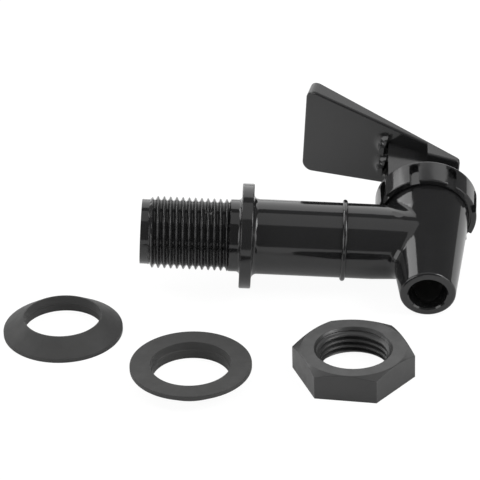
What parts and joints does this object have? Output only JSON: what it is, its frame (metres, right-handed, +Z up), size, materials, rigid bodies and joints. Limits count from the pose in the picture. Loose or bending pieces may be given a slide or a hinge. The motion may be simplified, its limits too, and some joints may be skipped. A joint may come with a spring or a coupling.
{
  "type": "beverage dispenser faucet",
  "caption": "Push-lever beverage dispenser faucet with threaded shank, flange and spout, lying beside its bevel washers and hex jam nut.",
  "frame": {"origin": "on the shank's axis at the flange's seat face; the table is below it", "axes": "+X along the shank towards the spout, level; +Z up from the table; +Y away from the spout's mouth, towards the lever"},
  "size_m": [0.1368, 0.1257, 0.0395],
  "materials": {
    "black_plastic": "gloss",
    "lever_plastic": "satin",
    "stem_plastic": "satin",
    "nut_plastic": "satin",
    "silicone": "matte",
    "washer_rubber": "matte",
    "spring_steel": "bright",
    "pin_steel": "bright"
  },
  "bodies": {
    "faucet": {"faucet_body": "black_plastic", "bonnet": "black_plastic", "spring": "spring_steel", "jam_nut": "nut_plastic", "outer_washer": "washer_rubber", "inner_washer": "washer_rubber"},
    "seat": {"seat_cup": "silicone"},
    "stem": {"stem": "stem_plastic", "lever_pin": "pin_steel"},
    "lever": {"lever": "lever_plastic"}
  },
  "joints": [
    {"name": "stem_lift", "type": "slide", "parent": "faucet", "child": "seat", "axis": [0.0126, 0.9797, 0.1999], "range_m": [0, 0.00293], "deforming": ["spring"]},
    {"name": "stem_swivel", "type": "hinge", "parent": "seat", "child": "stem", "pos_m": [0.05399, 0, -0.00341], "axis": [0.0126, 0.9797, 0.1999], "continuous": true},
    {"name": "lever_tilt", "type": "hinge", "parent": "stem", "child": "lever", "pos_m": [0.0543, 0.0241, 0.00151], "axis": [0.0617, -0.2003, 0.9778], "range_deg": [0, 20], "stiffness_Nm_per_rad": 0.07, "springref_deg": -28.65}
  ],
  "couplings": [
    {"joint": "lever_tilt", "follows": "stem_lift", "rad_per_m": 119.05}
  ]
}
